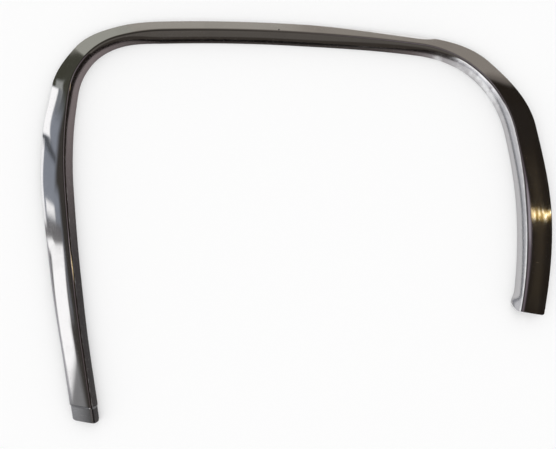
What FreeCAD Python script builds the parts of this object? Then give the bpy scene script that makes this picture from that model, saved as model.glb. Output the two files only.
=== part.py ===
import FreeCAD, Part
import math
import os
import Sketcher

os.makedirs("parts", exist_ok=True)
doc = FreeCAD.newDocument("trim_strip")
V = FreeCAD.Vector

# Driving dimensions
# Lengths are millimetres and turns are degrees.
# The strip lies on its back, polished face up, with the arch in the XY plane.
SIZES = {
    # pressed sheet
    "sheet": 0.8,
    "ridge_height": 14.0,
    "ridge_radius": 4.0,
    "edge_radius": 1.6,
    "face_radius": 150.0,
    "flange_radius": 40.0,
    "return_depth": 3.0,
    # ridge line in plan: from above the left foot over the crown to the right foot
    "start_x": -278.5,
    "start_y": -202.7,
    "start_heading": 98.6,
    "lower_leg_radius": 3093.0,
    "lower_leg_turn": 4.83,
    "upper_leg_radius": 614.0,
    "upper_leg_turn": 12.53,
    "left_corner_radius": 97.1,
    "left_corner_turn": 66.35,
    "crown_lead_radius": 280.0,
    "crown_lead_turn": 13.77,
    "crown_radius": 2452.0,
    "crown_turn": 8.59,
    "right_corner_radius": 163.3,
    "right_corner_turn": 68.86,
    "right_leg_radius": 637.0,
    "right_leg_turn": 23.56,
    # section at each key station: face width, fall of the face, width of the flange
    "left_foot_face": 29.5,
    "left_foot_fall": 4.5,
    "left_foot_flange": 6.5,
    "left_shin_face": 32.3,
    "left_shin_fall": 4.5,
    "left_shin_flange": 7.6,
    "left_leg_face": 34.4,
    "left_leg_fall": 4.5,
    "left_leg_flange": 8.2,
    "left_knee_face": 32.2,
    "left_knee_fall": 4.8,
    "left_knee_flange": 8.8,
    "left_shoulder_face": 26.6,
    "left_shoulder_fall": 5.5,
    "left_shoulder_flange": 9.6,
    "left_corner_face": 22.2,
    "left_corner_fall": 7.5,
    "left_corner_flange": 9.8,
    "crown_left_face": 17.6,
    "crown_left_fall": 9.5,
    "crown_left_flange": 11.0,
    "crown_start_face": 15.8,
    "crown_start_fall": 9.5,
    "crown_start_flange": 15.0,
    "crown_middle_face": 15.4,
    "crown_middle_fall": 9.5,
    "crown_middle_flange": 14.8,
    "crown_end_face": 14.3,
    "crown_end_fall": 9.5,
    "crown_end_flange": 12.3,
    "right_corner_face": 22.0,
    "right_corner_fall": 7.5,
    "right_corner_flange": 9.7,
    "right_shoulder_face": 31.2,
    "right_shoulder_fall": 5.0,
    "right_shoulder_flange": 10.9,
    "right_leg_face": 35.7,
    "right_leg_fall": 4.5,
    "right_leg_flange": 10.2,
    "right_foot_face": 33.9,
    "right_foot_fall": 4.5,
    "right_foot_flange": 9.1,
    # left foot: a straight run that ends at a skew, then the joggled tail
    "foot_run": 60.0,
    "foot_skew": 16.0,
    "tail_length": 20.0,
    "tail_ramp": 3.0,
    "tail_step": 1.0,
    # flared end of the flange on the right foot
    "flare_length": 24.0,
    "flare_width": 3.0,
    # trimmed corners of the two feet
    "left_foot_corner": 5.0,
    "left_flange_corner": 5.0,
    "right_foot_corner": 5.0,
    "right_flange_trim": 10.0,
}

sheet = doc.addObject("Spreadsheet::Sheet", "dims")
for row, (name, value) in enumerate(SIZES.items(), start=1):
    sheet.set("A%d" % row, name)
    sheet.set("B%d" % row, str(value))
    sheet.setAlias("B%d" % row, name)
doc.recompute()


def size(name):
    return float(getattr(sheet, name))


# Arcs of the ridge line, in order, and how far apart the sections along it may be
ARCS = ["lower_leg", "upper_leg", "left_corner", "crown_lead", "crown", "right_corner",
        "right_leg"]
SECTION_SPACING = 50.0
SECTION_TURN = 17.5

# Key stations: name, arc on which it lies and share of that arc
KEYS = [
    ("left_foot", "lower_leg", 0.0),
    ("left_shin", "lower_leg", 0.5),
    ("left_leg", "upper_leg", 0.0),
    ("left_knee", "upper_leg", 0.5),
    ("left_shoulder", "left_corner", 0.0),
    ("left_corner", "left_corner", 0.5),
    ("crown_left", "crown_lead", 0.0),
    ("crown_start", "crown", 0.0),
    ("crown_middle", "crown", 0.5),
    ("crown_end", "right_corner", 0.0),
    ("right_corner", "right_corner", 0.5),
    ("right_shoulder", "right_leg", 0.0),
    ("right_leg", "right_leg", 0.5),
    ("right_foot", "right_leg", 1.0),
]

body = doc.addObject("PartDesign::Body", "trim_strip")
body.Label = "trim_strip"
planes = {feature.Role: feature for feature in body.Origin.OriginFeatures}
plan_plane = planes["XY_Plane"]


# Ridge line of the swept part, all tangent arcs
def draw_ridge_line():
    sketch = body.newObject("Sketcher::SketchObject", "ridge_line")
    sketch.AttachmentSupport = [(plan_plane, "")]
    sketch.MapMode = "FlatFace"
    point = V(size("start_x"), size("start_y"), 0)
    heading = math.radians(size("start_heading"))
    lead = V(math.cos(heading), math.sin(heading), 0) * size("foot_run")
    sketch.addGeometry(Part.LineSegment(point - lead, point), True)
    for name in ARCS:
        radius = size(name + "_radius")
        turn = math.radians(size(name + "_turn"))
        centre = point + V(math.sin(heading), -math.cos(heading), 0) * radius
        last = heading + math.pi / 2
        circle = Part.Circle(centre, V(0, 0, 1), radius)
        sketch.addGeometry(Part.ArcOfCircle(circle, last - turn, last), False)
        heading -= turn
        point = centre + V(-math.sin(heading), math.cos(heading), 0) * radius
    rule = Sketcher.Constraint
    rules = [
        (rule("DistanceX", -1, 1, 0, 2, size("start_x")), "dims.start_x"),
        (rule("DistanceY", -1, 1, 0, 2, size("start_y")), "dims.start_y"),
        (rule("Angle", 0, math.radians(size("start_heading"))), "dims.start_heading * 1 deg"),
        (rule("Distance", 0, size("foot_run")), "dims.foot_run"),
        (rule("Tangent", 0, 2, 1, 2), None),
    ]
    for index, name in enumerate(ARCS, start=1):
        turn = math.radians(size(name + "_turn"))
        rules.append((rule("Radius", index, size(name + "_radius")), "dims.%s_radius" % name))
        rules.append((rule("Angle", index, turn), "dims.%s_turn * 1 deg" % name))
        if index < len(ARCS):
            rules.append((rule("Tangent", index, 1, index + 1, 2), None))
    apply_rules(sketch, rules)
    return sketch


def apply_rules(sketch, rules):
    for rule, expression in rules:
        index = sketch.addConstraint(rule)
        if expression:
            sketch.setExpression("Constraints[%d]" % index, expression)


ridge_line = draw_ridge_line()
doc.recompute()
ridge_arcs = [g for g in ridge_line.Geometry if isinstance(g, Part.ArcOfCircle)]
arc_lengths = [arc.length() for arc in ridge_arcs]
ridge_length = sum(arc_lengths)


def run_to(arc_name, share):
    index = ARCS.index(arc_name)
    return sum(arc_lengths[:index]) + share * arc_lengths[index]


# Placement of a section: its X axis points out of the arch, its Y axis up
# A run below zero lies on the straight foot before the first arc. The foot is cut
# level, so its sections are turned about the ridge by the skew.
def section_placement(run, skew=0.0):
    back = max(0.0, -run)
    run = max(0.0, run)
    index = 0
    while run > arc_lengths[index] + 1e-6 and index < len(ridge_arcs) - 1:
        run -= arc_lengths[index]
        index += 1
    arc = ridge_arcs[index]
    angle = arc.LastParameter - run / arc.Radius
    outward = V(math.cos(angle), math.sin(angle), 0)
    travel = V(math.sin(angle), -math.cos(angle), 0)
    point = arc.Center + outward * arc.Radius - travel * back
    turn = FreeCAD.Rotation(outward, V(0, 0, 1), travel, "XYZ")
    skewed = FreeCAD.Rotation(V(0, 0, 1), -skew).multiply(turn)
    return FreeCAD.Placement(point, skewed)


def smooth(share):
    share = min(max(share, 0.0), 1.0)
    return share * share * (3 - 2 * share)


# Size of a section as a blend of the two key stations beside it
def blend(run, kind):
    runs = [run_to(arc, share) for _, arc, share in KEYS]
    index = 0
    while index < len(KEYS) - 2 and run > runs[index + 1]:
        index += 1
    weight = smooth((run - runs[index]) / (runs[index + 1] - runs[index]))
    before = "dims.%s_%s" % (KEYS[index][0], kind)
    after = "dims.%s_%s" % (KEYS[index + 1][0], kind)
    text = "%s + (%s - %s) * %.6f" % (before, after, before, weight)
    value = size(before[5:]) + (size(after[5:]) - size(before[5:])) * weight
    return value, text


def circle_meet(centre_a, radius_a, centre_b, radius_b, side):
    gap = centre_b - centre_a
    along = (gap.Length ** 2 + radius_a ** 2 - radius_b ** 2) / (2 * gap.Length)
    rise = math.sqrt(radius_a ** 2 - along ** 2)
    unit = gap / gap.Length
    return centre_a + unit * along + V(-unit.y, unit.x, 0) * rise * side


def angle_of(vector):
    return math.atan2(vector.y, vector.x) % (2 * math.pi)


# Section of the pressed sheet: rolled edge, crowned face, ridge and flange
# The step is the share of the joggle that it is pressed in by, the flare the share
# of the flared end, and a skewed section is longer by the stretch.
def draw_section(name, run, step=0.0, flare=0.0, skew=0.0):
    face, face_text = blend(run, "face")
    fall, fall_text = blend(run, "fall")
    flange, flange_text = blend(run, "flange")
    stretch = 1 / math.cos(math.radians(skew))
    inset = step * size("tail_step")
    inset_text = "dims.tail_step * %.6f" % step
    flare_text = "dims.flare_width * %.6f" % flare
    face_text = "(%s - %s) * %.6f" % (face_text, inset_text, stretch)
    flange_text = "(%s - %s + %s) * %.6f" % (flange_text, inset_text, flare_text, stretch)
    height_text = "dims.ridge_height - %s" % inset_text
    face = (face - inset) * stretch
    flange = (flange - inset + flare * size("flare_width")) * stretch
    height = size("ridge_height") - inset
    wall = size("sheet")
    radii = [size("edge_radius"), size("face_radius"), size("ridge_radius"),
             size("flange_radius")]
    edge_r, face_r, ridge_r, flange_r = radii
    edge_centre = V(face - edge_r, height - fall, 0)
    ridge_centre = V(0, height - ridge_r, 0)
    foot = V(-flange, 0, 0)
    face_centre = circle_meet(edge_centre, face_r - edge_r, ridge_centre, face_r - ridge_r, 1)
    flange_centre = circle_meet(ridge_centre, flange_r - ridge_r, foot, flange_r, 1)
    centres = [edge_centre, face_centre, ridge_centre, flange_centre]
    turns = [0.0,
             angle_of(edge_centre - face_centre),
             angle_of(ridge_centre - face_centre),
             angle_of(ridge_centre - flange_centre),
             angle_of(foot - flange_centre)]
    inner_foot_x = flange_centre.x - math.sqrt((flange_r - wall) ** 2 - flange_centre.y ** 2)
    inner_foot = V(inner_foot_x, 0, 0)
    inner_turns = turns[:4] + [angle_of(inner_foot - flange_centre)]
    edge_top = V(face, height - fall, 0)
    edge_low = edge_top - V(0, size("return_depth"), 0)
    wall_across = V(wall, 0, 0)

    geometry = [Part.LineSegment(edge_low, edge_top)]
    for k in range(4):
        circle = Part.Circle(centres[k], V(0, 0, 1), radii[k])
        geometry.append(Part.ArcOfCircle(circle, turns[k], turns[k + 1]))
    geometry.append(Part.LineSegment(foot, inner_foot))
    for k in (3, 2, 1, 0):
        circle = Part.Circle(centres[k], V(0, 0, 1), radii[k] - wall)
        geometry.append(Part.ArcOfCircle(circle, inner_turns[k], inner_turns[k + 1]))
    geometry.append(Part.LineSegment(edge_top - wall_across, edge_low - wall_across))
    geometry.append(Part.LineSegment(edge_low - wall_across, edge_low))

    sketch = body.newObject("Sketcher::SketchObject", name)
    sketch.AttachmentSupport = [(plan_plane, "")]
    sketch.MapMode = "FlatFace"
    sketch.AttachmentOffset = section_placement(run, skew)
    sketch.addGeometry(geometry, False)
    rule = Sketcher.Constraint
    rules = [
        (rule("Tangent", 0, 2, 1, 1), None),
        (rule("Tangent", 1, 2, 2, 1), None),
        (rule("Tangent", 2, 2, 3, 1), None),
        (rule("Tangent", 3, 2, 4, 1), None),
        (rule("Coincident", 4, 2, 5, 1), None),
        (rule("Coincident", 5, 2, 6, 2), None),
        (rule("Tangent", 6, 1, 7, 2), None),
        (rule("Tangent", 7, 1, 8, 2), None),
        (rule("Tangent", 8, 1, 9, 2), None),
        (rule("Tangent", 9, 1, 10, 1), None),
        (rule("Coincident", 10, 2, 11, 1), None),
        (rule("Coincident", 11, 2, 0, 1), None),
        (rule("Vertical", 0), None),
        (rule("Vertical", 10), None),
        (rule("Horizontal", 11), None),
        (rule("Horizontal", 5), None),
        (rule("PointOnObject", 4, 2, -1), None),
        (rule("PointOnObject", 3, 3, -2), None),
        (rule("Coincident", 1, 3, 9, 3), None),
        (rule("Coincident", 2, 3, 8, 3), None),
        (rule("Coincident", 3, 3, 7, 3), None),
        (rule("Coincident", 4, 3, 6, 3), None),
        (rule("Radius", 1, edge_r), "dims.edge_radius"),
        (rule("Radius", 2, face_r), "dims.face_radius"),
        (rule("Radius", 3, ridge_r), "dims.ridge_radius"),
        (rule("Radius", 4, flange_r), "dims.flange_radius"),
        (rule("Distance", 11, wall), "dims.sheet"),
        (rule("Distance", 0, size("return_depth")), "dims.return_depth"),
        (rule("DistanceY", -1, 1, 3, 3, height - ridge_r),
         "%s - dims.ridge_radius" % height_text),
        (rule("DistanceX", -1, 1, 0, 2, face), face_text),
        (rule("DistanceY", -1, 1, 0, 2, height - fall), "%s - (%s)" % (height_text, fall_text)),
        (rule("DistanceX", 4, 2, -1, 1, flange), flange_text),
    ]
    apply_rules(sketch, rules)
    return sketch


# Left foot
skew = size("foot_skew")
foot_run = -size("foot_run")
root_run = foot_run - size("tail_ramp")
foot_section = draw_section("foot_section", foot_run, skew=skew)
root_section = draw_section("root_section", root_run, step=1.0, skew=skew)
into_left = section_placement(foot_run).Rotation.multVec(V(0, 0, 1))
left_end = section_placement(root_run - size("tail_length"), skew)
doc.recompute()

# Joggled tail that slips under the next moulding
tail = body.newObject("PartDesign::Pad", "joggle_tail")
tail.Profile = root_section
tail.UseCustomVector = True
tail.Direction = -into_left
tail.AlongSketchNormal = False
tail.setExpression("Length", "dims.tail_length")
doc.recompute()

# Trimmed corners
OVERCUT = 3.0
ROUND = 0.5
SLANT = 0.4


def pocket(name, frame, outline, width=None):
    sketch = body.newObject("Sketcher::SketchObject", name + "_outline")
    sketch.AttachmentSupport = [(plan_plane, "")]
    sketch.MapMode = "FlatFace"
    sketch.AttachmentOffset = frame
    sketch.addGeometry(outline, False)
    for k in range(len(outline)):
        sketch.addConstraint(Sketcher.Constraint("Coincident", k, 2, (k + 1) % len(outline), 1))
        sketch.addConstraint(Sketcher.Constraint("Block", k))
    doc.recompute()
    faces_before = len(body.Shape.Faces)
    cut = body.newObject("PartDesign::Pocket", name)
    cut.Profile = sketch
    cut.SideType = "Symmetric"
    if width is None:
        cut.Type = "ThroughAll"
    else:
        cut.Type = "Length"
        cut.Length = width
    doc.recompute()
    if len(body.Shape.Faces) <= faces_before:
        raise RuntimeError("%s cuts nothing" % name)
    return cut


# Outline of what is cut off a corner, whose sides leave it along two unit vectors
# The arc meets each side at the reach, and crosses it at an angle; a bulge of 1 would
# be tangent to both sides and a bulge of 0 a straight cut.
def corner_outline(corner, side_a, side_b, reach, bulge):
    if side_a.cross(side_b).z < 0:
        side_a, side_b = side_b, side_a
    half = side_a.getAngle(side_b) / 2
    middle_way = (side_a + side_b).normalize()
    tangent_radius = reach * math.tan(half)
    full_rise = tangent_radius * (1 - math.sin(half))
    chord_middle = corner + middle_way * (reach * math.cos(half))
    peak = chord_middle - middle_way * (full_rise * bulge)
    edge = Part.Arc(corner + side_b * reach, peak, corner + side_a * reach).toShape()
    more = OVERCUT / edge.Curve.Radius
    arc = Part.ArcOfCircle(edge.Curve, edge.FirstParameter - more, edge.LastParameter + more)
    outside = corner - middle_way * 2 * OVERCUT
    return [arc, Part.LineSegment(arc.EndPoint, outside),
            Part.LineSegment(outside, arc.StartPoint)]


# Frame of a cut across the flange: X runs along the strip, into it, and Y up
def flange_frame(end, into):
    turn = FreeCAD.Rotation(into, V(0, 0, 1), into.cross(V(0, 0, 1)), "XYZ")
    return FreeCAD.Placement(end.Base, turn)


flat = FreeCAD.Placement()
stretch = 1 / math.cos(math.radians(skew))
tail_face = (size("left_foot_face") - size("tail_step")) * stretch
tail_flange = size("left_foot_flange") - size("tail_step")
left_inward = left_end.Rotation.multVec(V(-1, 0, 0))
left_corner = left_end.Base - left_inward * tail_face
pocket("left_foot_trim", flat,
       corner_outline(left_corner, left_inward, into_left, size("left_foot_corner"), ROUND))
left_low = V(-tail_flange * math.tan(math.radians(skew)), 0, 0)
pocket("left_flange_trim", flange_frame(left_end, into_left),
       corner_outline(left_low, V(1, 0, 0), V(0, 1, 0), size("left_flange_corner"), ROUND),
       2 * (tail_flange + OVERCUT))

# Sections along the ridge line, with two more at the flare
flare_start = ridge_length - size("flare_length")
section_runs = [0.0]
for arc_name, arc_length in zip(ARCS, arc_lengths):
    by_length = math.ceil(arc_length / SECTION_SPACING)
    by_turn = math.ceil(size(arc_name + "_turn") / SECTION_TURN)
    count = max(by_length, by_turn)
    for k in range(1, count + 1):
        section_runs.append(run_to(arc_name, k / count))
section_runs[-1:] = [flare_start, ridge_length - size("flare_length") / 2, ridge_length]
sections = [
    draw_section("section_%02d" % number, run,
                 flare=smooth((run - flare_start) / size("flare_length")))
    for number, run in enumerate(section_runs)
]
doc.recompute()

# Ramp of the joggle and the straight foot above it
joggle = body.newObject("PartDesign::AdditiveLoft", "joggle_ramp")
joggle.Profile = foot_section
joggle.Sections = [root_section]
joggle.Ruled = True
doc.recompute()
foot = body.newObject("PartDesign::AdditiveLoft", "straight_foot")
foot.Profile = sections[0]
foot.Sections = [foot_section]
foot.Ruled = True
doc.recompute()

# Strip swept along the ridge line through all its sections
strip = body.newObject("PartDesign::AdditivePipe", "strip")
strip.Profile = sections[0]
strip.Sections = sections[1:]
strip.Spine = (ridge_line, [])
strip.Transformation = "Multisection"
strip.Mode = "Binormal"
strip.Binormal = V(0, 0, 1)
doc.recompute()

# Trimmed right foot: its flange is cut to a slant that rolls into the free edge
right_end = section_placement(ridge_length)
into_right = -right_end.Rotation.multVec(V(0, 0, 1))
right_inward = right_end.Rotation.multVec(V(-1, 0, 0))
right_corner = right_end.Base - right_inward * size("right_foot_face")
pocket("right_foot_trim", flat,
       corner_outline(right_corner, into_right, right_inward, size("right_foot_corner"),
                      ROUND))
pocket("right_flange_trim", flange_frame(right_end, into_right),
       corner_outline(V(0, 0, 0), V(1, 0, 0), V(0, 1, 0), size("right_flange_trim"), SLANT),
       2 * (size("right_foot_flange") + size("flare_width") + OVERCUT))

# The origin is the middle of the footprint, on the plane of the free edge
box = body.Shape.optimalBoundingBox(True, False)
middle = V((box.XMin + box.XMax) / 2, (box.YMin + box.YMax) / 2, 0)
body.Placement = FreeCAD.Placement(-middle, FreeCAD.Rotation())
doc.recompute()

for item in doc.Objects:
    if "Invalid" in item.State or "Error" in item.State:
        raise RuntimeError("%s failed: %s" % (item.Name, item.State))
shape = body.Shape
if shape.isNull() or not shape.isValid() or len(shape.Solids) != 1:
    raise RuntimeError("the strip is not one valid solid")
print("trim_strip volume %.0f mm3, footprint middle %.2f, %.2f" % (shape.Volume, middle.x, middle.y))
shape.exportStep("parts/trim_strip.step")
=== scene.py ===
import math
import bpy
import numpy as np
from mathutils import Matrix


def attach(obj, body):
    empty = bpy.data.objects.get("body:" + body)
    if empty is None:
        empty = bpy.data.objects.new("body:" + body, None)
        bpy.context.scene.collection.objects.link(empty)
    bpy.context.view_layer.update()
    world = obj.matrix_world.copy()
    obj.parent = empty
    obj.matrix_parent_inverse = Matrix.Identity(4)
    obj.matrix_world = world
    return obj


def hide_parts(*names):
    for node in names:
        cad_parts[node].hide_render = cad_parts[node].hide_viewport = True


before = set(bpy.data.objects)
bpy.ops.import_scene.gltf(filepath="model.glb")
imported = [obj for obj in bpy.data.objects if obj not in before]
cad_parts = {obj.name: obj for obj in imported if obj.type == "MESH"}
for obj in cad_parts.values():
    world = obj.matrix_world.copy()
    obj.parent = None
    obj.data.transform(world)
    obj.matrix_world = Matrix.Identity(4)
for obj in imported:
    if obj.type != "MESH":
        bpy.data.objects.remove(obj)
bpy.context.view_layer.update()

# Sizes are metres and turns are degrees
MM = 0.001
SHEET = 0.8 * MM
RIDGE_HEIGHT = 14.0 * MM
RIDGE_RADIUS = 4.0 * MM
EDGE_RADIUS = 1.6 * MM
FACE_RADIUS = 150.0 * MM
FLANGE_RADIUS = 40.0 * MM
RETURN_DEPTH = 3.0 * MM

# Ridge line in plan: start, heading and tangent arcs that turn to the right
FOOTPRINT_MIDDLE = np.array((26.60, 4.75)) * MM
START = np.array((-278.5, -202.7)) * MM - FOOTPRINT_MIDDLE
START_HEADING = 98.6
ARCS = [
    ("lower leg", 3093.0, 4.83),
    ("upper leg", 614.0, 12.53),
    ("left corner", 97.1, 66.35),
    ("crown lead", 280.0, 13.77),
    ("crown", 2452.0, 8.59),
    ("right corner", 163.3, 68.86),
    ("right leg", 637.0, 23.56),
]

# Key stations: arc, share of it, face width, fall of the face and width of the flange
KEYS = [
    (0, 0.0, 29.5, 4.5, 6.5),
    (0, 0.5, 32.3, 4.5, 7.6),
    (1, 0.0, 34.4, 4.5, 8.2),
    (1, 0.5, 32.2, 4.8, 8.8),
    (2, 0.0, 26.6, 5.5, 9.6),
    (2, 0.5, 22.2, 7.5, 9.8),
    (3, 0.0, 17.6, 9.5, 11.0),
    (4, 0.0, 15.8, 9.5, 15.0),
    (4, 0.5, 15.4, 9.5, 14.8),
    (5, 0.0, 14.3, 9.5, 12.3),
    (5, 0.5, 22.0, 7.5, 9.7),
    (6, 0.0, 31.2, 5.0, 10.9),
    (6, 0.5, 35.7, 4.5, 10.2),
    (6, 1.0, 33.9, 4.5, 9.1),
]

# Left foot with its joggled tail, and the flared and trimmed right foot
FOOT_RUN = 60.0 * MM
FOOT_SKEW = 16.0
TAIL_LENGTH = 20.0 * MM
TAIL_RAMP = 3.0 * MM
TAIL_STEP = 1.0 * MM
FLARE_LENGTH = 24.0 * MM
FLARE_WIDTH = 3.0 * MM
LEFT_CORNER = 5.0 * MM
RIGHT_CORNER = 5.0 * MM
FLANGE_TRIM = 10.0 * MM

# Rows along the strip, finer at both ends and on the joggle with a margin round it
ROW_SPACING = 2.4 * MM
FINE_SPACING = 0.6 * MM
FINE_RUN = 14.0 * MM
RAMP_MARGIN = 2.0 * MM
END_FADE = 36.0 * MM

# Columns round the section, crowded towards the outer edge and towards the free edge
COLUMNS = [("return", 3), ("edge", 8), ("face", 20), ("ridge", 14), ("flange", 12)]
FACE_CROWDING = 0.7
FLANGE_CROWDING = 0.6

# Edges that turn by less than this are shaded smooth
SOFT_ANGLE = 50.0


def smooth(share):
    share = np.clip(share, 0.0, 1.0)
    return share * share * (3 - 2 * share)


# Plan point, heading and run of the start of each arc
def arc_starts():
    point = START.copy()
    heading = math.radians(START_HEADING)
    run = 0.0
    starts = []
    for _, radius, turn in ARCS:
        radius = radius * MM
        turn = math.radians(turn)
        starts.append((run, point.copy(), heading, radius))
        centre = point + np.array((math.sin(heading), -math.cos(heading))) * radius
        heading -= turn
        point = centre + np.array((-math.sin(heading), math.cos(heading))) * radius
        run += radius * turn
    return starts, run


STARTS, LENGTH = arc_starts()


def plan_point(run):
    index = 0
    while index < len(STARTS) - 1 and run > STARTS[index + 1][0]:
        index += 1
    start, point, heading, radius = STARTS[index]
    if run < 0:
        ahead = np.array((math.cos(heading), math.sin(heading)))
        return point + ahead * run, heading
    turned = heading - (run - start) / radius
    centre = point + np.array((math.sin(heading), -math.cos(heading))) * radius
    return centre + np.array((-math.sin(turned), math.cos(turned))) * radius, turned


def key_sizes(run):
    ends = [start for start, _, _, _ in STARTS] + [LENGTH]
    runs = [ends[arc] + share * (ends[arc + 1] - ends[arc]) for arc, share, *_ in KEYS]
    index = 0
    while index < len(KEYS) - 2 and run > runs[index + 1]:
        index += 1
    weight = smooth((run - runs[index]) / (runs[index + 1] - runs[index]))
    before = np.array(KEYS[index][2:])
    after = np.array(KEYS[index + 1][2:])
    return (before + (after - before) * weight) * MM


# Runs of the rows, closer together at both ends and at the joggle
def row_runs():
    first = -(FOOT_RUN + TAIL_RAMP + TAIL_LENGTH)
    ramp = -(FOOT_RUN + TAIL_RAMP)
    spans = [
        (first, first + FINE_RUN, FINE_SPACING),
        (first + FINE_RUN, ramp - RAMP_MARGIN, ROW_SPACING),
        (ramp - RAMP_MARGIN, -FOOT_RUN + RAMP_MARGIN, FINE_SPACING / 2),
        (-FOOT_RUN + RAMP_MARGIN, LENGTH - 2 * FINE_RUN, ROW_SPACING),
        (LENGTH - 2 * FINE_RUN, LENGTH, FINE_SPACING),
    ]
    runs = []
    for low, high, spacing in spans:
        count = max(2, int(round((high - low) / spacing)))
        runs += list(np.linspace(low, high, count, endpoint=False))
    return np.array(runs + [LENGTH])


def crowded(share, crowding):
    return (1 - crowding) * share + crowding * share * share


# Columns round the outer side of the section, from the return edge to the free edge
def section_columns():
    columns = [(0, 0.0)]
    for index, (name, count) in enumerate(COLUMNS):
        for k in range(1, count + 1):
            share = k / count
            if name == "face":
                share = crowded(share, FACE_CROWDING)
            if name == "flange":
                share = 1 - crowded(1 - share, FLANGE_CROWDING)
            columns.append((index, share))
    return columns


def add_attribute(mesh, name, kind, values):
    attribute = mesh.attributes.new(name, kind, "POINT")
    field = "vector" if kind == "FLOAT_VECTOR" else "value"
    attribute.data.foreach_set(field, np.ascontiguousarray(values).ravel())


# Grid of the sheet, closed round its section and at both ends, with the values that
# the sweep reads kept as attributes of its points
def moulding_grid():
    runs = row_runs()
    outer = section_columns()
    loop = [(stretch, share, 0.0) for stretch, share in outer]
    loop += [(stretch, share, 1.0) for stretch, share in reversed(outer)]
    rows = len(runs)
    wide = len(loop)
    faces = []
    for row in range(rows - 1):
        for column in range(wide):
            beside = (column + 1) % wide
            faces.append((row * wide + column, row * wide + beside,
                          (row + 1) * wide + beside, (row + 1) * wide + column))
    for column in range(len(outer) - 1):
        far = wide - 1 - column
        last = (rows - 1) * wide
        faces.append((column + 1, column, far, far - 1))
        faces.append((last + column, last + column + 1, last + far - 1, last + far))
    mesh = bpy.data.meshes.new("moulding")
    mesh.from_pydata([(0.0, 0.0, 0.0)] * (rows * wide), [], faces)

    places = [plan_point(run) for run in runs]
    points = np.array([(place[0], place[1], 0.0) for place, _ in places])
    headings = np.array([heading for _, heading in places])
    level = np.zeros(rows)
    travel = np.stack((np.cos(headings), np.sin(headings), level), axis=1)
    outward = np.stack((-np.sin(headings), np.cos(headings), level), axis=1)
    sizes = np.array([key_sizes(run) for run in runs])
    flare = smooth((runs - LENGTH + FLARE_LENGTH) / FLARE_LENGTH)
    step = np.clip((-FOOT_RUN - runs) / TAIL_RAMP, 0.0, 1.0)
    by_row = {
        "face_width": sizes[:, 0],
        "face_fall": sizes[:, 1],
        "flange_width": sizes[:, 2] + flare * FLARE_WIDTH,
        "step": smooth(step),
        "skew": np.clip(-runs / FOOT_RUN, 0.0, 1.0),
        "left_end": np.clip(1 - (runs - runs[0]) / END_FADE, 0.0, 1.0),
        "right_end": np.clip(1 - (LENGTH - runs) / END_FADE, 0.0, 1.0),
    }
    for name, values in by_row.items():
        add_attribute(mesh, name, "FLOAT", np.repeat(values, wide))
    for name, vectors in (("ridge_point", points), ("travel", travel), ("outward", outward)):
        add_attribute(mesh, name, "FLOAT_VECTOR", np.repeat(vectors, wide, axis=0))
    columns = np.array(loop)
    add_attribute(mesh, "stretch", "INT", np.tile(columns[:, 0].astype(int), rows))
    add_attribute(mesh, "share", "FLOAT", np.tile(columns[:, 1], rows))
    add_attribute(mesh, "depth", "FLOAT", np.tile(columns[:, 2], rows))
    add_attribute(mesh, "run", "FLOAT", np.repeat(runs, wide))
    return mesh


# Small helpers for node trees
def link(tree, value, socket):
    if isinstance(value, bpy.types.NodeSocket):
        tree.links.new(value, socket)
    else:
        socket.default_value = value


def maths(tree, operation, *values):
    node = tree.nodes.new("ShaderNodeMath")
    node.operation = operation
    for socket, value in zip(node.inputs, values):
        link(tree, value, socket)
    return node.outputs[0]


def vector_maths(tree, operation, *values):
    node = tree.nodes.new("ShaderNodeVectorMath")
    node.operation = operation
    for socket, value in zip(node.inputs, values):
        link(tree, value, socket)
    return node.outputs["Value"] if operation in ("LENGTH", "DOT_PRODUCT") else node.outputs[0]


def scaled(tree, vector, factor):
    node = tree.nodes.new("ShaderNodeVectorMath")
    node.operation = "SCALE"
    link(tree, vector, node.inputs[0])
    link(tree, factor, node.inputs["Scale"])
    return node.outputs[0]


def combine(tree, x, y, z=0.0):
    node = tree.nodes.new("ShaderNodeCombineXYZ")
    for socket, value in zip(node.inputs, (x, y, z)):
        link(tree, value, socket)
    return node.outputs[0]


def separate(tree, vector):
    node = tree.nodes.new("ShaderNodeSeparateXYZ")
    link(tree, vector, node.inputs[0])
    return node.outputs


def stored(tree, name, kind="FLOAT"):
    node = tree.nodes.new("GeometryNodeInputNamedAttribute")
    node.data_type = kind
    node.inputs["Name"].default_value = name
    return next(s for s in node.outputs if s.enabled and s.name == "Attribute")


def pick(tree, index, kind, values):
    node = tree.nodes.new("GeometryNodeIndexSwitch")
    node.data_type = kind
    while len(node.index_switch_items) < len(values):
        node.index_switch_items.new()
    link(tree, index, node.inputs["Index"])
    for number, value in enumerate(values):
        link(tree, value, node.inputs[str(number)])
    return node.outputs[0]


def noise(tree, vector, scale, detail):
    node = tree.nodes.new("ShaderNodeTexNoise")
    node.inputs["Scale"].default_value = scale
    node.inputs["Detail"].default_value = detail
    tree.links.new(vector, node.inputs["Vector"])
    return node.outputs["Fac"]


# From nothing to full as a value goes from low to high, or back where low is the greater
def ramp_value(tree, value, low, high, kind="SMOOTHSTEP"):
    node = tree.nodes.new("ShaderNodeMapRange")
    node.interpolation_type = kind
    for name, level in (("Value", value), ("From Min", low), ("From Max", high)):
        link(tree, level, node.inputs[name])
    return node.outputs["Result"]


# Soft-edged spot round a place in run and across
def window(tree, run, across, along, beside):
    away = []
    for value, (middle, reach) in ((run, along), (across, beside)):
        shift = maths(tree, "SUBTRACT", value, middle)
        away.append(maths(tree, "POWER", maths(tree, "DIVIDE", shift, reach), 2.0))
    return ramp_value(tree, maths(tree, "ADD", away[0], away[1]), 1.0, 0.5)


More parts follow.
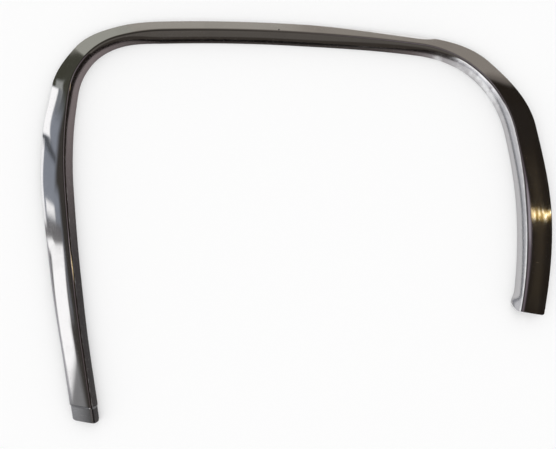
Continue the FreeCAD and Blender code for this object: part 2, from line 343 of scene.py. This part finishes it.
def mixed(tree, share, before, after, blend="MIX"):
    node = tree.nodes.new("ShaderNodeMix")
    node.data_type = "RGBA"
    node.blend_type = blend
    link(tree, share, node.inputs["Factor"])
    for value, socket in ((before, node.inputs["A"]), (after, node.inputs["B"])):
        link(tree, (*value, 1.0) if isinstance(value, tuple) else value, socket)
    return node.outputs["Result"]


def group_tree(name, kind, sockets):
    tree = bpy.data.node_groups.new(name, kind)
    for label, direction, socket_type in sockets:
        tree.interface.new_socket(label, in_out=direction, socket_type=socket_type)
    return tree, tree.nodes.new("NodeGroupInput"), tree.nodes.new("NodeGroupOutput")


def use_group(tree, group, **values):
    node = tree.nodes.new("GeometryNodeGroup" if tree.bl_idname == "GeometryNodeTree"
                          else "ShaderNodeGroup")
    node.node_tree = group
    for label, value in values.items():
        link(tree, value, node.inputs[label.replace("_", " ")])
    return node.outputs


# Centre of an arc that touches two others: where two circles meet
def circle_meet_group():
    tree, given, result = group_tree("circle meet", "GeometryNodeTree", [
        ("centre a", "INPUT", "NodeSocketVector"),
        ("radius a", "INPUT", "NodeSocketFloat"),
        ("centre b", "INPUT", "NodeSocketVector"),
        ("radius b", "INPUT", "NodeSocketFloat"),
        ("centre", "OUTPUT", "NodeSocketVector"),
    ])
    start = given.outputs["centre a"]
    radius_a = given.outputs["radius a"]
    gap = vector_maths(tree, "SUBTRACT", given.outputs["centre b"], start)
    reach = vector_maths(tree, "LENGTH", gap)
    square_a = maths(tree, "POWER", radius_a, 2.0)
    square_b = maths(tree, "POWER", given.outputs["radius b"], 2.0)
    total = maths(tree, "ADD", maths(tree, "POWER", reach, 2.0), square_a)
    along = maths(tree, "DIVIDE", maths(tree, "SUBTRACT", total, square_b),
                  maths(tree, "MULTIPLY", reach, 2.0))
    rise = maths(tree, "SQRT",
                 maths(tree, "SUBTRACT", square_a, maths(tree, "POWER", along, 2.0)))
    unit = vector_maths(tree, "NORMALIZE", gap)
    parts = separate(tree, unit)
    across = combine(tree, maths(tree, "MULTIPLY", parts[1], -1.0), parts[0])
    middle = vector_maths(tree, "ADD", start, scaled(tree, unit, along))
    centre = vector_maths(tree, "ADD", middle, scaled(tree, across, rise))
    tree.links.new(centre, result.inputs["centre"])
    return tree


# Angle of a vector in the section, from zero to a full turn
def angle(tree, vector):
    parts = separate(tree, vector)
    return maths(tree, "WRAP", maths(tree, "ARCTAN2", parts[1], parts[0]), 2 * math.pi, 0.0)


# How far a rounded corner is set back, at a distance from the corner's side
def set_back(tree, distance, radius):
    into = maths(tree, "MINIMUM", maths(tree, "MAXIMUM",
                 maths(tree, "SUBTRACT", radius, distance), 0.0), radius)
    square = maths(tree, "SUBTRACT", maths(tree, "POWER", radius, 2.0),
                   maths(tree, "POWER", into, 2.0))
    return maths(tree, "SUBTRACT", radius,
                 maths(tree, "SQRT", maths(tree, "MAXIMUM", square, 0.0)))


# Sweep of the pressed section along the ridge line
SWEEP_SIZES = {
    "sheet": SHEET,
    "ridge height": RIDGE_HEIGHT,
    "ridge radius": RIDGE_RADIUS,
    "edge radius": EDGE_RADIUS,
    "face radius": FACE_RADIUS,
    "flange radius": FLANGE_RADIUS,
    "return depth": RETURN_DEPTH,
    "tail step": TAIL_STEP,
    "foot skew": math.tan(math.radians(FOOT_SKEW)),
    "left corner": LEFT_CORNER,
    "right corner": RIGHT_CORNER,
    "flange trim": FLANGE_TRIM,
}


def sweep_tree(material):
    sockets = [("Geometry", "INPUT", "NodeSocketGeometry")]
    sockets += [(name, "INPUT", "NodeSocketFloat") for name in SWEEP_SIZES]
    sockets += [("Geometry", "OUTPUT", "NodeSocketGeometry")]
    tree, given, result = group_tree("moulding sweep", "GeometryNodeTree", sockets)
    size = given.outputs
    meet = circle_meet_group()

    inset = maths(tree, "MULTIPLY", stored(tree, "step"), size["tail step"])
    face = maths(tree, "SUBTRACT", stored(tree, "face_width"), inset)
    flange = maths(tree, "SUBTRACT", stored(tree, "flange_width"), inset)
    height = maths(tree, "SUBTRACT", size["ridge height"], inset)
    edge_level = maths(tree, "SUBTRACT", height, stored(tree, "face_fall"))
    edge_centre = combine(tree, maths(tree, "SUBTRACT", face, size["edge radius"]), edge_level)
    ridge_centre = combine(tree, 0.0, maths(tree, "SUBTRACT", height, size["ridge radius"]))
    foot = combine(tree, maths(tree, "MULTIPLY", flange, -1.0), 0.0)
    face_centre = use_group(
        tree, meet, centre_a=edge_centre,
        radius_a=maths(tree, "SUBTRACT", size["face radius"], size["edge radius"]),
        centre_b=ridge_centre,
        radius_b=maths(tree, "SUBTRACT", size["face radius"], size["ridge radius"]))["centre"]
    flange_centre = use_group(
        tree, meet, centre_a=ridge_centre,
        radius_a=maths(tree, "SUBTRACT", size["flange radius"], size["ridge radius"]),
        centre_b=foot, radius_b=size["flange radius"])["centre"]

    turns = [
        0.0,
        angle(tree, vector_maths(tree, "SUBTRACT", edge_centre, face_centre)),
        angle(tree, vector_maths(tree, "SUBTRACT", ridge_centre, face_centre)),
        angle(tree, vector_maths(tree, "SUBTRACT", ridge_centre, flange_centre)),
    ]
    wall = maths(tree, "MULTIPLY", size["sheet"], stored(tree, "depth"))
    foot_radius = maths(tree, "SUBTRACT", size["flange radius"], wall)
    low = separate(tree, flange_centre)[1]
    foot_square = maths(tree, "SUBTRACT", maths(tree, "POWER", foot_radius, 2.0),
                        maths(tree, "POWER", low, 2.0))
    foot_reach = combine(tree, maths(tree, "MULTIPLY", maths(tree, "SQRT", foot_square), -1.0),
                         maths(tree, "MULTIPLY", low, -1.0))
    turns.append(angle(tree, foot_reach))

    stretch = stored(tree, "stretch", "INT")
    share = stored(tree, "share")
    centre = pick(tree, stretch, "VECTOR",
                  [edge_centre, edge_centre, face_centre, ridge_centre, flange_centre])
    radius = pick(tree, stretch, "FLOAT",
                  [size["edge radius"], size["edge radius"], size["face radius"],
                   size["ridge radius"], size["flange radius"]])
    turn_from = pick(tree, stretch, "FLOAT", [0.0, turns[0], turns[1], turns[2], turns[3]])
    turn_to = pick(tree, stretch, "FLOAT", [0.0, turns[1], turns[2], turns[3], turns[4]])
    turn = maths(tree, "ADD", turn_from,
                 maths(tree, "MULTIPLY", maths(tree, "SUBTRACT", turn_to, turn_from), share))
    spoke = combine(tree, maths(tree, "COSINE", turn), maths(tree, "SINE", turn))
    on_arc = vector_maths(tree, "ADD", centre,
                          scaled(tree, spoke, maths(tree, "SUBTRACT", radius, wall)))
    below = maths(tree, "MULTIPLY", size["return depth"], maths(tree, "SUBTRACT", 1.0, share))
    on_return = combine(tree, maths(tree, "SUBTRACT", face, wall),
                        maths(tree, "SUBTRACT", edge_level, below))
    section = pick(tree, maths(tree, "MINIMUM", stretch, 1.0), "VECTOR", [on_return, on_arc])
    across, up = separate(tree, section)[0:2]

    from_edge = maths(tree, "SUBTRACT", face, across)
    on_flange = maths(tree, "LESS_THAN", across, 0.0)
    flange_back = maths(tree, "MULTIPLY", on_flange, set_back(tree, up, size["left corner"]))
    left_back = maths(tree, "ADD", set_back(tree, from_edge, size["left corner"]), flange_back)
    slant = maths(tree, "MAXIMUM", maths(tree, "SUBTRACT", size["flange trim"], up), 0.0)
    right_back = maths(tree, "ADD", set_back(tree, from_edge, size["right corner"]),
                       maths(tree, "MULTIPLY", on_flange, slant))
    skewed = maths(tree, "MULTIPLY", maths(tree, "MULTIPLY", across, size["foot skew"]),
                   stored(tree, "skew"))
    left_move = maths(tree, "MULTIPLY", stored(tree, "left_end"), left_back)
    right_move = maths(tree, "MULTIPLY", stored(tree, "right_end"), right_back)
    along = maths(tree, "SUBTRACT", maths(tree, "ADD", skewed, left_move), right_move)

    plan = vector_maths(tree, "ADD", stored(tree, "ridge_point", "FLOAT_VECTOR"),
                        scaled(tree, stored(tree, "outward", "FLOAT_VECTOR"), across))
    plan = vector_maths(tree, "ADD", plan,
                        scaled(tree, stored(tree, "travel", "FLOAT_VECTOR"), along))
    place = vector_maths(tree, "ADD", plan, combine(tree, 0.0, 0.0, up))

    shape = tree.nodes.new("GeometryNodeSetPosition")
    tree.links.new(given.outputs["Geometry"], shape.inputs["Geometry"])
    tree.links.new(place, shape.inputs["Position"])
    kept = shape.outputs["Geometry"]
    for name, value in (("across", across), ("up", up)):
        store = tree.nodes.new("GeometryNodeStoreNamedAttribute")
        store.data_type = "FLOAT"
        store.domain = "POINT"
        store.inputs["Name"].default_value = name
        tree.links.new(kept, store.inputs["Geometry"])
        tree.links.new(value, next(s for s in store.inputs if s.enabled and s.name == "Value"))
        kept = store.outputs["Geometry"]
    edge_angle = tree.nodes.new("GeometryNodeInputMeshEdgeAngle")
    soft = maths(tree, "LESS_THAN", edge_angle.outputs["Unsigned Angle"], math.radians(SOFT_ANGLE))
    shade = tree.nodes.new("GeometryNodeSetShadeSmooth")
    shade.domain = "EDGE"
    tree.links.new(kept, shade.inputs["Geometry"])
    tree.links.new(soft, shade.inputs["Shade Smooth"])
    real = tree.nodes.new("GeometryNodeRealizeInstances")
    tree.links.new(shade.outputs["Geometry"], real.inputs["Geometry"])
    dress = tree.nodes.new("GeometryNodeSetMaterial")
    dress.inputs["Material"].default_value = material
    tree.links.new(real.outputs["Geometry"], dress.inputs["Geometry"])
    tree.links.new(dress.outputs["Geometry"], result.inputs["Geometry"])
    return tree


def swept_moulding(material):
    grid = bpy.data.objects.new("moulding grid", moulding_grid())
    bpy.context.scene.collection.objects.link(grid)
    for polygon in grid.data.polygons:
        polygon.use_smooth = True
    tree = sweep_tree(material)
    modifier = grid.modifiers.new("moulding sweep", "NODES")
    modifier.node_group = tree
    for item in tree.interface.items_tree:
        if item.in_out == "INPUT" and item.name in SWEEP_SIZES:
            modifier[item.identifier] = SWEEP_SIZES[item.name]
    view_layer = bpy.context.view_layer
    view_layer.update()
    evaluated = grid.evaluated_get(bpy.context.evaluated_depsgraph_get())
    mesh = bpy.data.meshes.new_from_object(evaluated)
    piece = bpy.data.objects.new("moulding", mesh)
    bpy.context.scene.collection.objects.link(piece)
    bpy.data.objects.remove(grid)
    return piece


# Places of the painted reflection tones on the flange. A pair gives where a mask is nothing
# and where it is full: these are runs along the strip, from the start of the ridge line
LONG_LEG = (0.42, 0.12)
CROWN_FROM = (0.44, 0.58)
CROWN_TO = (1.02, 0.86)
SHORT_LEG = (0.93, 1.03)
CORNER_FROM = (0.955, 0.99)
CORNER_TO = (1.14, 1.05)

# Across the section, from the ridge line: flange, and both sides of its crease
FLANGE_SIDE = (-0.5 * MM, -2.0 * MM)
CREASE_INNER = (-2.2 * MM, -1.2 * MM)
CREASE_OUTER = (1.0 * MM, 0.1 * MM)

# Dull band of the flange, rougher and with painted reflection: its upper limit, how far that
# wanders, and how much lower it lies on the crown
PAINTED_REFLECTION_TOP = (13.2 * MM, 11.8 * MM)
PAINTED_REFLECTION_WANDER = 2.2 * MM
PAINTED_REFLECTION_DROP = 7.0 * MM

# Nick beside the crease at the middle of the crown: where it is and how far it reaches
NICK_RUN = (0.7393, 0.0012)
NICK_ACROSS = (0.0024, 0.0015)

# Polishing lines per metre of run and round the section, and coarseness of the marks
LINES_ALONG = 30.0
LINES_ROUND = 2600.0
SMUDGE_SCALE = 26.0
PIT_SCALE = 1500.0
WANDER_SCALE = 90.0
CORNER_SCALE = 55.0


# Wear of the chrome, and masks of painted reflection and painted shade, from where a point
# lies on the strip: along its run, across its section and up from the floor
def wear_group():
    tree, given, result = group_tree("chrome wear and painted shade", "ShaderNodeTree", [
        ("run", "INPUT", "NodeSocketFloat"),
        ("across", "INPUT", "NodeSocketFloat"),
        ("up", "INPUT", "NodeSocketFloat"),
        ("place", "INPUT", "NodeSocketVector"),
        ("polishing lines", "OUTPUT", "NodeSocketFloat"),
        ("smudges", "OUTPUT", "NodeSocketFloat"),
        ("pits", "OUTPUT", "NodeSocketFloat"),
        ("dull band", "OUTPUT", "NodeSocketFloat"),
        ("long leg", "OUTPUT", "NodeSocketFloat"),
        ("crown", "OUTPUT", "NodeSocketFloat"),
        ("short leg", "OUTPUT", "NodeSocketFloat"),
        ("worn corner", "OUTPUT", "NodeSocketFloat"),
        ("tail", "OUTPUT", "NodeSocketFloat"),
        ("step", "OUTPUT", "NodeSocketFloat"),
        ("crease", "OUTPUT", "NodeSocketFloat"),
        ("nick", "OUTPUT", "NodeSocketFloat"),
    ])
    run, across, up, place = given.outputs[:4]
    lines = noise(tree, combine(tree, maths(tree, "MULTIPLY", run, LINES_ALONG),
                                maths(tree, "MULTIPLY", across, LINES_ROUND),
                                maths(tree, "MULTIPLY", up, LINES_ROUND)), 1.0, 3.0)
    smudges = noise(tree, place, SMUDGE_SCALE, 5.0)
    pits = noise(tree, place, PIT_SCALE, 1.0)
    blotches = noise(tree, place, CORNER_SCALE, 3.0)
    wander = maths(tree, "MULTIPLY_ADD", noise(tree, place, WANDER_SCALE, 3.0),
                   PAINTED_REFLECTION_WANDER, -PAINTED_REFLECTION_WANDER / 2)
    crown = maths(tree, "MULTIPLY", ramp_value(tree, run, *CROWN_FROM),
                  ramp_value(tree, run, *CROWN_TO))
    height = maths(tree, "ADD", maths(tree, "ADD", up, wander),
                   maths(tree, "MULTIPLY", crown, PAINTED_REFLECTION_DROP))
    corner = maths(tree, "MULTIPLY", ramp_value(tree, run, *CORNER_FROM),
                   ramp_value(tree, run, *CORNER_TO))
    outputs = {
        "polishing lines": lines,
        "smudges": ramp_value(tree, smudges, 0.45, 0.75),
        "pits": ramp_value(tree, pits, 0.70, 0.78),
        # dull band: rougher chrome, and where a painted reflection is laid on the flange
        "dull band": maths(tree, "MULTIPLY", ramp_value(tree, across, *FLANGE_SIDE),
                           ramp_value(tree, height, *PAINTED_REFLECTION_TOP)),
        "long leg": ramp_value(tree, run, *LONG_LEG),
        "crown": crown,
        "short leg": ramp_value(tree, run, *SHORT_LEG),
        # right corner: the flange's painted reflection is lighter here, in blotches
        "worn corner": maths(tree, "MULTIPLY", corner, ramp_value(tree, blotches, 0.40, 0.60)),
        # tail: rougher chrome, and a darker painted reflection
        "tail": ramp_value(tree, run, -FOOT_RUN + 0.2 * TAIL_RAMP, -FOOT_RUN - 0.2 * TAIL_RAMP),
        # step: a painted shade line where the tail steps down
        "step": maths(tree, "MULTIPLY",
                      ramp_value(tree, run, -FOOT_RUN + 0.2 * TAIL_RAMP, -FOOT_RUN),
                      ramp_value(tree, run, -FOOT_RUN - 1.1 * TAIL_RAMP,
                                 -FOOT_RUN - 0.9 * TAIL_RAMP)),
        # crease: painted shade along the crease under the ridge
        "crease": maths(tree, "MULTIPLY", ramp_value(tree, across, *CREASE_INNER),
                        ramp_value(tree, across, *CREASE_OUTER)),
        "nick": window(tree, run, across, NICK_RUN, NICK_ACROSS),
    }
    for name, value in outputs.items():
        tree.links.new(value, result.inputs[name])
    return tree


# Tones of the chrome, clean and smudged, and of the painted reflection on the flange, which change
# along it
CLEAN = (0.82, 0.81, 0.80)
SMUDGED = (0.76, 0.75, 0.74)
# Painted reflection: dark base colour on the flange, set to the tones below along the run
PAINTED_REFLECTION = (0.200, 0.168, 0.168)
PAINTED_REFLECTION_TONES = [
    ("long leg", (0.050, 0.045, 0.045)),
    ("crown", (0.055, 0.048, 0.045)),
    ("short leg", (0.52, 0.51, 0.52)),
    # on the right corner the painted reflection turns light, in blotches
    ("worn corner", (0.86, 0.86, 0.87)),
]
# Painted reflection: a darker tone on the tail
TAIL_PAINTED_REFLECTION = (0.44, 0.44, 0.445)
# Painted shade: a dark line at the step of the joggle
STEP_PAINTED_SHADE = (0.14, 0.14, 0.145)
# Painted shade along the crease
CREASE_PAINTED_SHADE = (0.58, 0.56, 0.55)
PIT_TONE = (0.50, 0.48, 0.46)
NICK_TONE = (0.05, 0.045, 0.04)

# Roughness of the clean chrome, and what the lines and each kind of wear add to it
POLISH = 0.030
ROUGHER = [
    ("polishing lines", 0.03),
    ("smudges", 0.03),
    ("dull band", 0.12),
    ("tail", 0.20),
    ("pits", 0.15),
    ("nick", 0.4),
]

# Relief of the marks: share of the bump's distance by which each stands in or out
RELIEF_DISTANCE = 0.3 * MM
RELIEF_STRENGTH = 0.35
NICK_RELIEF = -1.0
PIT_RELIEF = -0.12
LINE_RELIEF = 0.004


# Polished chrome, duller on the tail and along the free edge of the flange, with painted
# reflection on the flange and tail and painted shade on the step line and the crease
def chrome_material():
    material = bpy.data.materials.new("polished chrome")
    material.use_nodes = True
    tree = material.node_tree
    shader = tree.nodes["Principled BSDF"]
    values = {}
    for name in ("run", "across", "up"):
        node = tree.nodes.new("ShaderNodeAttribute")
        node.attribute_name = name
        values[name] = node.outputs["Fac"]
    place = tree.nodes.new("ShaderNodeTexCoord").outputs["Object"]
    wear_and_shade = use_group(tree, wear_group(), place=place, **values)
    # Painted reflection on the flange, darker or lighter along the run
    reflection_tone = PAINTED_REFLECTION
    for name, tone in PAINTED_REFLECTION_TONES:
        reflection_tone = mixed(tree, wear_and_shade[name], reflection_tone, tone)
    colour = mixed(tree, wear_and_shade["smudges"], CLEAN, SMUDGED)
    # The tail tone is a painted reflection; the step and crease tones are painted shade
    for name, tone in (("tail", TAIL_PAINTED_REFLECTION), ("dull band", reflection_tone), ("step", STEP_PAINTED_SHADE),
                       ("crease", CREASE_PAINTED_SHADE), ("pits", PIT_TONE), ("nick", NICK_TONE)):
        colour = mixed(tree, wear_and_shade[name], colour, tone)
    tree.links.new(colour, shader.inputs["Base Color"])
    rough = POLISH
    for name, more in ROUGHER:
        rough = maths(tree, "MULTIPLY_ADD", wear_and_shade[name], more, rough)
    tree.links.new(rough, shader.inputs["Roughness"])
    relief = maths(tree, "MULTIPLY", wear_and_shade["pits"], PIT_RELIEF)
    relief = maths(tree, "MULTIPLY_ADD", wear_and_shade["nick"], NICK_RELIEF, relief)
    relief = maths(tree, "MULTIPLY_ADD", wear_and_shade["polishing lines"], LINE_RELIEF, relief)
    bump = tree.nodes.new("ShaderNodeBump")
    bump.inputs["Strength"].default_value = RELIEF_STRENGTH
    bump.inputs["Distance"].default_value = RELIEF_DISTANCE
    tree.links.new(relief, bump.inputs["Height"])
    tree.links.new(bump.outputs["Normal"], shader.inputs["Normal"])
    shader.inputs["Metallic"].default_value = 1.0
    return material


# Floor: half its side, how far it lies below the strip, and its whiteness
FLOOR_HALF = 3.0
FLOOR_DROP = 0.3 * MM
FLOOR_WHITE = 0.985


def add_floor():
    mesh = bpy.data.meshes.new("floor")
    corners = [(-FLOOR_HALF, -FLOOR_HALF, 0.0), (FLOOR_HALF, -FLOOR_HALF, 0.0),
               (FLOOR_HALF, FLOOR_HALF, 0.0), (-FLOOR_HALF, FLOOR_HALF, 0.0)]
    mesh.from_pydata(corners, [], [(0, 1, 2, 3)])
    floor = bpy.data.objects.new("floor", mesh)
    bpy.context.scene.collection.objects.link(floor)
    floor.location.z = -FLOOR_DROP
    material = bpy.data.materials.new("pale floor")
    material.use_nodes = True
    shader = material.node_tree.nodes["Principled BSDF"]
    shader.inputs["Base Color"].default_value = (FLOOR_WHITE,) * 3 + (1.0,)
    shader.inputs["Roughness"].default_value = 0.9
    mesh.materials.append(material)


# Soft card in the studio round the moulding: where a direction lies inside a window of
# azimuth and elevation, in degrees, whose upper and lower sides may slope
def card_group():
    tree, given, result = group_tree("studio card", "ShaderNodeTree", [
        ("azimuth", "INPUT", "NodeSocketFloat"),
        ("elevation", "INPUT", "NodeSocketFloat"),
        ("from azimuth", "INPUT", "NodeSocketFloat"),
        ("to azimuth", "INPUT", "NodeSocketFloat"),
        ("from elevation", "INPUT", "NodeSocketFloat"),
        ("to elevation", "INPUT", "NodeSocketFloat"),
        ("slope", "INPUT", "NodeSocketFloat"),
        ("softness", "INPUT", "NodeSocketFloat"),
        ("mask", "OUTPUT", "NodeSocketFloat"),
    ])
    value = given.outputs
    middle = maths(tree, "MULTIPLY",
                   maths(tree, "ADD", value["from azimuth"], value["to azimuth"]), 0.5)
    aside = maths(tree, "SUBTRACT", value["azimuth"], middle)
    level = maths(tree, "SUBTRACT", value["elevation"],
                  maths(tree, "MULTIPLY", aside, value["slope"]))
    sides = [
        maths(tree, "SUBTRACT", value["azimuth"], value["from azimuth"]),
        maths(tree, "SUBTRACT", value["to azimuth"], value["azimuth"]),
        maths(tree, "SUBTRACT", level, value["from elevation"]),
        maths(tree, "SUBTRACT", value["to elevation"], level),
    ]
    inside = sides[0]
    for side in sides[1:]:
        inside = maths(tree, "MINIMUM", inside, side)
    mask = ramp_value(tree, inside, maths(tree, "MULTIPLY", value["softness"], -0.5),
                      maths(tree, "MULTIPLY", value["softness"], 0.5))
    tree.links.new(mask, result.inputs["mask"])
    return tree


# Cards of the studio, far to near: azimuths, elevations, slope, softness and colour.
# Azimuth 0 is to the right of the moulding, 90 beyond its crown and 180 to its left.
BEHIND_CARDS = (0.06, 0.054, 0.05)
WHITE = (1.15, 1.15, 1.17)
CARDS = [
    # beyond the crown: beige cards under darker ones, with sharp ends at both corners
    ((38, 140), (-14, 50), 0.0, 6.0, (0.185, 0.163, 0.146)),
    ((38, 140), (50, 95), 0.0, 8.0, (0.105, 0.096, 0.086)),
    ((84, 122), (-20, 18), 0.0, 4.0, (0.355, 0.335, 0.303)),
    ((62, 86), (-20, 17), 0.0, 6.0, (0.285, 0.260, 0.232)),
    ((40.5, 72), (-20, 31), -0.8, 2.5, (0.265, 0.240, 0.215)),
    ((112, 139), (-20, 33), 0.75, 2.5, (0.350, 0.350, 0.315)),
    ((118, 156), (42, 95), 0.0, 4.0, (0.060, 0.058, 0.045)),
    # left corner
    ((138.5, 157), (-10, 95), 0.0, 1.5, (0.055, 0.055, 0.042)),
    ((150, 155.5), (38, 48), 0.8, 3.0, (0.330, 0.340, 0.330)),
    # left side: white cards, and the dark gaps between them
    ((156, 212), (-10, 63), 0.0, 5.0, (0.250, 0.270, 0.315)),
    ((181.2, 216), (38, 62), 0.0, 2.0, (0.150, 0.146, 0.152)),
    ((155.6, 164.8), (14, 46.5), 0.6, 2.5, WHITE),
    ((165.3, 166.9), (34, 58), 0.0, 1.2, (0.070, 0.075, 0.085)),
    ((167, 182.5), (28, 43.6), 0.10, 1.2, (1.05, 1.05, 1.08)),
    ((178.0, 180.6), (46, 56), 0.0, 1.5, WHITE),
    ((185.6, 209.5), (44, 59.5), -0.2, 1.5, WHITE),
    ((184.6, 187.5), (43, 54), 3.0, 1.0, WHITE),
    ((185, 212), (28, 43.5), 0.0, 1.5, (0.420, 0.420, 0.450)),
    ((208.5, 226), (32, 63), 0.0, 5.0, (0.225, 0.225, 0.232)),
    ((140, 234), (63.5, 90), 0.0, 6.0, (0.042, 0.038, 0.034)),
    ((140, 173), (59, 90), 0.0, 6.0, (0.048, 0.043, 0.039)),
    ((203, 234), (58, 90), 0.0, 6.0, (0.048, 0.043, 0.039)),
    # low on the left: silver cards with a darker line in them, and a bright corner
    ((156, 252), (7, 32), 0.0, 5.0, (0.900, 0.910, 0.930)),
    ((166, 212), (-8, 6), 0.0, 4.0, (0.230, 0.250, 0.265)),
    ((212, 254), (-8, 8), 0.0, 6.0, (0.560, 0.560, 0.590)),
    ((218, 250), (8, 38), 0.0, 6.0, WHITE),
    # in front, for the flange of the crown
    ((252, 312), (-20, 22), 0.0, 5.0, (0.042, 0.035, 0.030)),
    ((250, 312), (22, 95), 0.0, 8.0, (0.095, 0.086, 0.077)),
]
# right side, where azimuths run through 0
RIGHT_CARDS = [
    ((-50, 37.5), (-20, 64), 0.0, 2.5, (0.017, 0.013, 0.010)),
    ((-16, 14), (47, 58), 0.0, 9.0, (0.036, 0.028, 0.019)),
    ((-50, 36), (63.5, 90), 0.0, 4.0, (0.180, 0.150, 0.175)),
    ((-4, 9), (64.5, 86), 0.0, 4.0, (0.380, 0.350, 0.390)),
    ((31, 39), (60, 86), 0.0, 4.0, (0.450, 0.430, 0.470)),
]


# String of small warm lamps, a broken streak on the right leg: the window that it fills,
# how fast its brightness changes round and up, and its tones from dim to bright
LAMP_AZIMUTHS = (1.6, 3.4)
LAMP_ELEVATIONS = (38.0, 63.0)
LAMP_SPREAD = (0.85, 0.19)
LAMP_TONES = [(0.22, 0.13, 0.035, 1.0), (1.20, 0.76, 0.17, 1.0), (3.0, 2.7, 2.0, 1.0)]


def warm_lamps(tree, turn, level, card):
    mask = use_group(
        tree, card, azimuth=turn, elevation=level,
        from_azimuth=LAMP_AZIMUTHS[0], to_azimuth=LAMP_AZIMUTHS[1],
        from_elevation=LAMP_ELEVATIONS[0], to_elevation=LAMP_ELEVATIONS[1],
        slope=0.0, softness=1.0)["mask"]
    spread = combine(tree, maths(tree, "MULTIPLY", turn, LAMP_SPREAD[0]),
                     maths(tree, "MULTIPLY", level, LAMP_SPREAD[1]))
    bright = ramp_value(tree, noise(tree, spread, 1.0, 2.0), 0.38, 0.62, "LINEAR")
    ramp = tree.nodes.new("ShaderNodeValToRGB")
    dim, warm, glare = LAMP_TONES
    ramp.color_ramp.elements[0].color = dim
    ramp.color_ramp.elements[1].color = glare
    ramp.color_ramp.elements.new(0.5).color = warm
    tree.links.new(bright, ramp.inputs["Fac"])
    return scaled(tree, ramp.outputs["Color"], mask)


def add_world():
    world = bpy.data.worlds.new("studio")
    bpy.context.scene.world = world
    world.use_nodes = True
    tree = world.node_tree
    nodes = tree.nodes
    nodes.clear()
    direction = nodes.new("ShaderNodeTexCoord").outputs["Generated"]
    x, y, z = separate(tree, direction)
    turn = maths(tree, "DEGREES", maths(tree, "ARCTAN2", y, x))
    level = maths(tree, "DEGREES", maths(tree, "ARCSINE", z))
    around = maths(tree, "WRAP", turn, 360.0, 0.0)
    card = card_group()
    colour = BEHIND_CARDS
    placed = [(around, row) for row in CARDS]
    placed += [(turn, row) for row in RIGHT_CARDS]
    for azimuth, (sides, levels, slope, softness, tint) in placed:
        mask = use_group(
            tree, card, azimuth=azimuth, elevation=level,
            from_azimuth=float(sides[0]), to_azimuth=float(sides[1]),
            from_elevation=float(levels[0]), to_elevation=float(levels[1]),
            slope=slope, softness=softness)["mask"]
        colour = mixed(tree, mask, colour, tint)
    colour = mixed(tree, 1.0, colour, warm_lamps(tree, turn, level, card), "ADD")

    # The cards are for the chrome to mirror; all else is lit by even white
    seen = nodes.new("ShaderNodeBackground")
    tree.links.new(colour, seen.inputs["Color"])
    even = nodes.new("ShaderNodeBackground")
    even.inputs["Color"].default_value = (1.0, 1.0, 1.0, 1.0)
    path = nodes.new("ShaderNodeLightPath")
    choose = nodes.new("ShaderNodeMixShader")
    tree.links.new(path.outputs["Is Glossy Ray"], choose.inputs[0])
    tree.links.new(even.outputs[0], choose.inputs[1])
    tree.links.new(seen.outputs[0], choose.inputs[2])
    output = nodes.new("ShaderNodeOutputWorld")
    tree.links.new(choose.outputs[0], output.inputs["Surface"])


# Camera, looking straight down: height above the floor, lens and sensor width
CAMERA_HEIGHT = 714.0 * MM
LENS = 31.7
SENSOR_WIDTH = 36.0


def add_camera():
    camera = bpy.data.objects.new("camera", bpy.data.cameras.new("camera"))
    bpy.context.scene.collection.objects.link(camera)
    camera.location = (-FOOTPRINT_MIDDLE[0], -FOOTPRINT_MIDDLE[1], CAMERA_HEIGHT)
    camera.data.lens = LENS
    camera.data.sensor_width = SENSOR_WIDTH
    camera.data.clip_start = 0.05
    bpy.context.scene.camera = camera


chrome = chrome_material()
moulding = swept_moulding(chrome)
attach(moulding, "root")
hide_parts("trim_strip")
add_floor()
add_world()
add_camera()
bpy.context.scene.view_settings.view_transform = "Standard"
